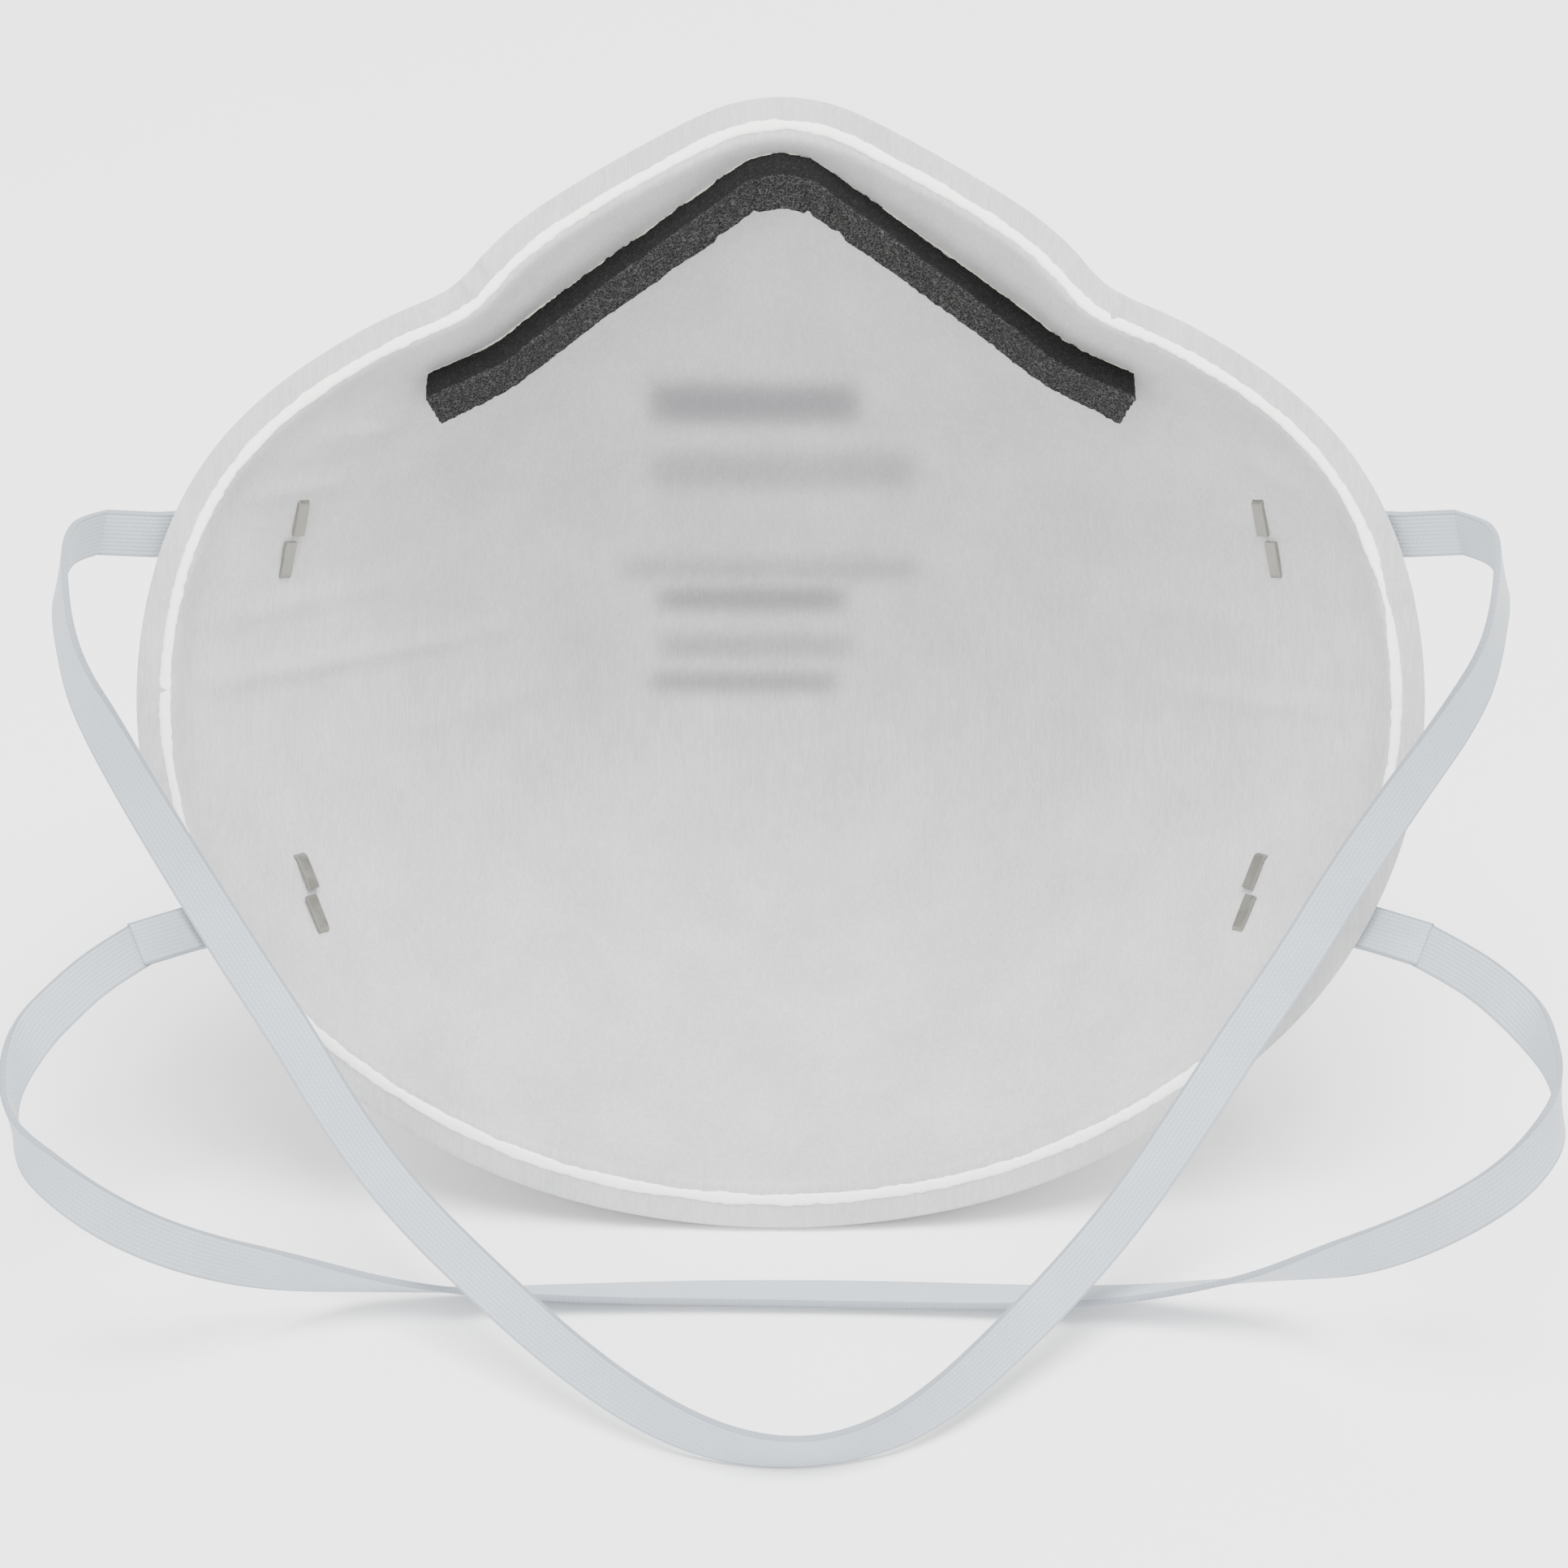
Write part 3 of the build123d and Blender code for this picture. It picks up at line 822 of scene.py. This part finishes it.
def flange_waves(rings):
    """Slight unevenness of the pressed flange."""
    return 0.10 * rough(rings, 5.0, 3.7) + 0.05 * rough(rings, 1.6, 9.1)


def lining_print(points):
    return soft_bars(points, 0.8)


def cover_print(points):
    """The print is only on the front of the cup, well behind its rim."""
    return np.where(points[:, 2] < -20, soft_bars(points, 0.25), 0.0)


def build_lining():
    rings = cup_rings(0.0, 0.0)
    in_cup = past_corner(rings, 3, 6.0)
    swell = 0.30 * rough(rings, 15.0, 1.3) + 0.10 * rough(rings, 5.5, 5.2)
    swell += LINING_CREASE_SCALE * creases(rings, LINING_CREASES)
    fold = flange_waves(rings) + FLANGE_FOLD_SCALE * creases(rings, FLANGE_FOLDS)
    lift = in_cup * swell + (1 - in_cup) * np.maximum(fold, -0.15)
    lift[0] -= 0.06
    out = normals_of(rings)
    front = rings + out * lift[..., None]
    thick = PRESSED_LINING + (LINING - PRESSED_LINING) * past_corner(rings, 1, 8.0)
    back = rings - out * (thick - 0.03 - 0.3 * np.minimum(lift, 0))[..., None]
    skin("lining", front, back, lining_print, node="inner_lining", slot="lining",
         material=lining_look)


def build_cover():
    outer = cup_rings(WALL, FLANGE_THICKNESS)
    inner = cup_rings(LINING + FILTER + 0.05, PRESSED_FILTER)
    in_cup = past_corner(outer, 3, 6.0)
    swell = 0.12 * rough(outer, 13.0, 2.4) + 0.05 * rough(outer, 5.0, 7.7) - 0.06
    lift = in_cup * swell + (1 - in_cup) * 0.5 * flange_waves(outer)
    front = outer - normals_of(outer) * lift[..., None]
    skin("cover", front, inner, cover_print, node="outer_cover", slot="cover", material=cover_look)


WELD_PER_SPAN = 40
# Its section, as (share of its half width, share of its height).
WELD_PROFILE = [
    (-1.0, -0.3), (-1.0, 0.0), (-0.86, 0.6), (-0.5, 0.9), (0.0, 1.0), (0.5, 0.9), (0.86, 0.6),
    (1.0, 0.0), (1.0, -0.3),
]
WELD_GAPS = [
    ((67.6, 12.0), (66.4, 3.0), 1.2, 0.38), ((64.0, 21.0), (67.0, 15.0), 1.2, 0.2),
    ((-66.5, -20.0), (-68.0, -10.0), 1.2, 0.2),
]


def build_weld():
    """The fused line: a low uneven bead that thins out where the press left gaps."""
    line = offset_ring(full_ring(FLANGE_EDGE), -FLANGE_WIDTH - WELD_WIDTH / 2)
    middle = smooth_ring(line, WELD_PER_SPAN)
    middle = np.concatenate([middle, np.zeros((len(middle), 1))], 1)
    way = unit(np.roll(middle, -1, 0) - np.roll(middle, 1, 0))
    square = np.stack([way[:, 1], -way[:, 0], np.zeros(len(way))], 1)
    thin = creases(middle, WELD_GAPS)
    width = WELD_WIDTH / 2 * (0.94 + 0.22 * rough(middle, 4.0, 1.1) - thin)
    rings = []
    for across, height in WELD_PROFILE:
        frayed = 0.15 * rough(middle, 0.9, 4.0 + 3 * np.sign(across))
        frayed += 0.05 * rough(middle, 0.4, 8.0)
        ring = middle + square * (across * (width + frayed))[:, None]
        top = WELD_HEIGHT * (height + 0.18 * rough(ring, 1.4, 6.0) * (height > 0.1))
        ring[:, 2] = saddle(ring) + top
        rings.append(ring)
    points = np.array(rings).reshape(-1, 3)
    faces = wrapped(len(rings), len(middle), closed=True)
    mesh_object("weld_line", to_row(points), faces, points, body="mask", node="edge_weld",
                slot="weld", material=weld_finish(), crease=80)


build_lining()
build_cover()
build_weld()


# ---------------------------------------------------------------- nose foam
FOAM_VOXEL = 0.00030
FOAM_PINCHES = [
    ((-2.6, 54.5), (-3.0, 47.0), 0.35, -0.45), ((2.4, 54.0), (3.4, 47.4), 0.35, -0.5),
    ((0.2, 50.5), (0.1, 46.0), 0.3, -0.4), ((5.8, 51.0), (7.0, 45.6), 0.4, -0.3),
    ((-6.5, 50.6), (-6.9, 46.4), 0.4, -0.25),
]


def from_row(points):
    """Row frame in metres to cup frame in millimetres."""
    return (np.asarray(points) - CENTRE) @ CUP_AXES.T / MM


def build_foam():
    """The nose strip: its CAD solid in fine voxels, roughened and pinched round the nose."""
    source = bpy.data.objects.new("foam_source", frame["nodes"]["nose_foam"].data.copy())
    bpy.context.scene.collection.objects.link(source)
    voxels = source.modifiers.new("voxels", "REMESH")
    voxels.mode = "VOXEL"
    voxels.voxel_size = FOAM_VOXEL
    seen = source.evaluated_get(bpy.context.evaluated_depsgraph_get())
    mesh = bpy.data.meshes.new_from_object(seen)
    bpy.data.objects.remove(source)
    points = np.array([v.co for v in mesh.vertices])
    out = np.array([v.normal for v in mesh.vertices])
    faces = [tuple(p.vertices) for p in mesh.polygons]
    bpy.data.meshes.remove(mesh)
    cup = from_row(points)
    lift = 0.10 * rough(cup, 0.55, 2.0) + 0.12 * rough(cup, 1.6, 4.0)
    lift += 0.14 * rough(cup, 6.0, 7.0) - 0.08 + creases(cup, FOAM_PINCHES)
    moved = points + MM * out * lift[:, None]
    foam = mesh_object("nose_cushion", moved, faces, cup, body="mask", node="nose_foam",
                       slot="foam", material=foam_finish(), crease=85)
    # Painted shade: marks the strip's faces that point up the cup, for a darker colour.
    mark_vertices(foam, "painted_shade_upper_side", np.clip((out @ UP_FACE - 0.05) / 0.5, 0, 1))


build_foam()


# ---------------------------------------------------------------- staples
STAPLE_SKEW = 0.45  # how far each folded leg lies off the crown's line


def build_staple(level, side_name):
    """Flat wire through the wall: a straight crown outside, two legs folded in on the lining."""
    half = CROWN / 2 - WIRE_THICKNESS / 2
    top = 2 * STRAP_THICKNESS + WIRE_THICKNESS / 2
    low = -WALL - TAB_CLEAR - WIRE_THICKNESS / 2
    tip = CROWN / 2 - CLINCH
    bend = 0.45
    path = [(tip, low), (tip + 0.5, low - 0.04), (half - 1.2, low - 0.02)]
    path += arc((half - bend, low + bend), bend, -math.pi / 2, math.pi / 2, 6)
    path += [(half, low + 1.5), (half, top - 1.2)]
    path += arc((half - bend, top - bend), bend, 0.0, math.pi / 2, 6)
    path += [(2.0, top + 0.05), (0.0, top + 0.08)]
    full = path + [(-x, z) for x, z in reversed(path[:-1])]
    tab = TABS[level, side_name]
    centres = []
    for x, z in full:
        inside = np.clip((low + 1.0 - z) / 1.0, 0, 1)
        skew = STAPLE_SKEW * math.copysign(inside, x) * (1 if side_name == "left" else -1)
        centres.append(in_tab(tab, skew, z, x))
    ribbon(f"{level}_{side_name}_wire_staple", centres, [tab[2]] * len(centres), WIRE_WIDTH * MM,
           WIRE_THICKNESS * MM, body="mask", node=f"{level}_{side_name}_staple",
           slot="staple_wire", material=staple_look)


for key in TABS:
    build_staple(*key)


# ---------------------------------------------------------------- stage and light
def stage_plane(reach=3.0):
    """The pale table top, reaching this far each way."""
    corners = [(-reach, -reach, 0), (reach, -reach, 0), (reach, reach, 0), (-reach, reach, 0)]
    mesh = bpy.data.meshes.new("table_top")
    mesh.from_pydata(corners, [], [(0, 1, 2, 3)])
    floor = bpy.data.objects.new("table_top", mesh)
    bpy.context.scene.collection.objects.link(floor)
    look, _, shader = new_look("pale_table", Roughness=0.7)
    shader.inputs["Base Color"].default_value = (0.96, 0.96, 0.96, 1.0)
    mesh.materials.append(look)


LIGHT_AIM = (0.0, -0.02, 0.05)


def soft_light(name, place, size, power):
    light = bpy.data.lights.new(name, "AREA")
    light.shape = "RECTANGLE"
    light.size, light.size_y = size
    light.energy = power
    lamp = bpy.data.objects.new(name, light)
    bpy.context.scene.collection.objects.link(lamp)
    lamp.location = place
    lamp.rotation_mode = "QUATERNION"
    lamp.rotation_quaternion = (Vector(LIGHT_AIM) - Vector(place)).to_track_quat("-Z", "Y")


stage_plane()
soft_light("overhead", (0.1, -0.15, 0.9), (0.8, 0.6), 22.0)
soft_light("front", (-0.35, -0.95, 0.55), (0.9, 0.7), 8.0)
soft_light("back", (0.2, 0.9, 0.6), (0.9, 0.6), 5.0)
world = bpy.data.worlds.new("studio")
world.use_nodes = True
background = world.node_tree.nodes["Background"]
background.inputs[0].default_value = (1.0, 1.0, 1.0, 1.0)
background.inputs[1].default_value = 1.35
bpy.context.scene.world = world
